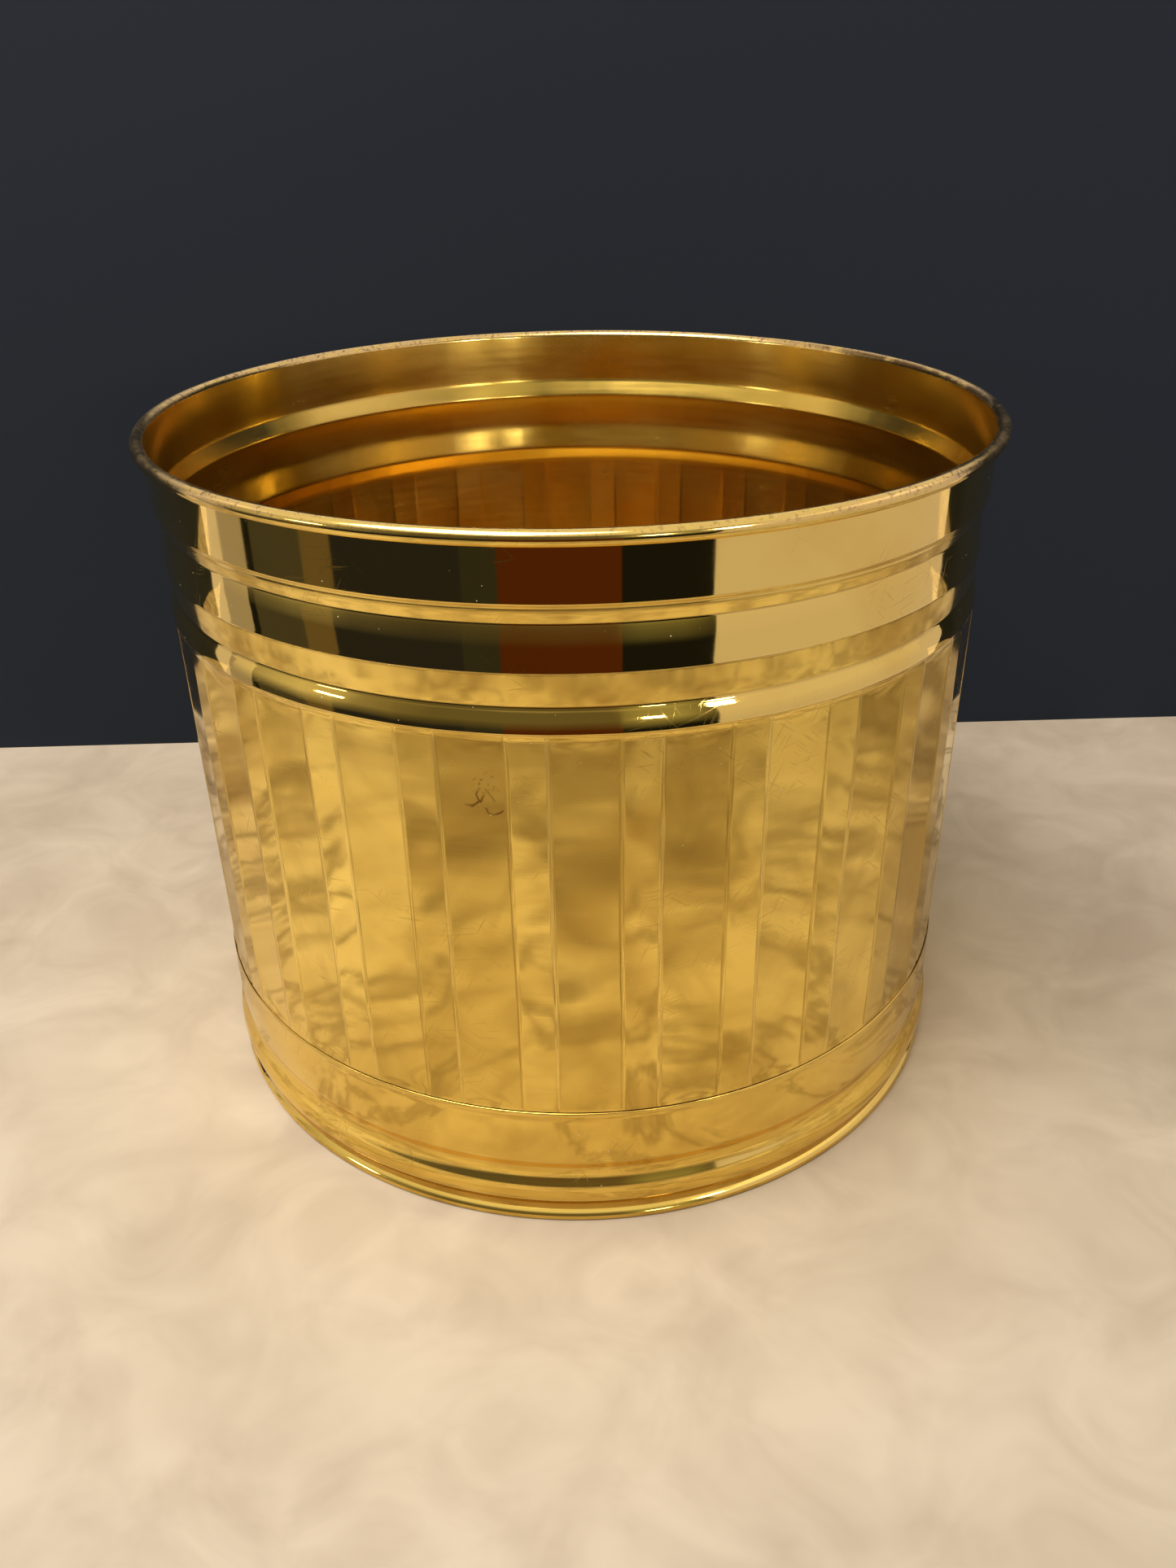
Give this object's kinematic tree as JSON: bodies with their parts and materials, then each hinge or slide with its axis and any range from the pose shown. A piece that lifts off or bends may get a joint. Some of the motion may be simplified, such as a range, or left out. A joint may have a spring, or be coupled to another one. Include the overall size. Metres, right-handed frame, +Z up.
{
  "type": "wastebasket",
  "caption": "Round straight-sided brass wastebasket with a wired rim, a stepped collar, flat pressed facets and a moulded base band.",
  "frame": {"origin": "centre of the basket's axis on the surface that the foot stands on", "axes": "+Z up along the basket's axis; -Y faces the front, where a wide facet is centred"},
  "size_m": [0.216, 0.216, 0.1785],
  "materials": {
    "wall_brass": "polished, with fine spun lines on the collar",
    "wire_steel": "drawn wire",
    "band_brass": "polished",
    "floor_brass": "satin, unpolished inside"
  },
  "bodies": {
    "root": {"faceted_wall": "wall_brass", "rim_wire": "wire_steel", "base_band": "band_brass", "floor_pan": "floor_brass"}
  },
  "joints": []
}
